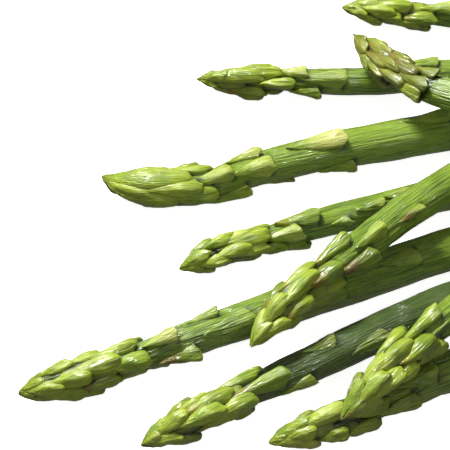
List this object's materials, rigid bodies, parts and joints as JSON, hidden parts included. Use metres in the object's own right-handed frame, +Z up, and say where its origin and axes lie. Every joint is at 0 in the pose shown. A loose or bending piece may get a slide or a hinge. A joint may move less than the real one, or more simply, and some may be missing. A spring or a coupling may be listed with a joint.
{
  "type": "bundle of asparagus",
  "caption": "Loose bundle of green asparagus spears lying heaped on a flat surface, each a tapering stem with scale leaves packed into a pointed head.",
  "frame": {"origin": "on the surface that the bundle lies on, under the middle of its bounding box", "axes": "+Z up, +X towards the cut ends of the spears, +Y across the bundle, away from the picture's camera"},
  "size_m": [0.2758, 0.1873, 0.0396],
  "materials": {
    "asparagus": "smooth skin with a thin glossy film of oil"
  },
  "bodies": {
    "root": {"spear_1": "asparagus", "spear_2": "asparagus", "spear_3": "asparagus", "spear_4": "asparagus", "spear_5": "asparagus", "spear_6": "asparagus", "spear_7": "asparagus", "spear_8": "asparagus", "spear_9": "asparagus", "spear_10": "asparagus"}
  },
  "joints": []
}
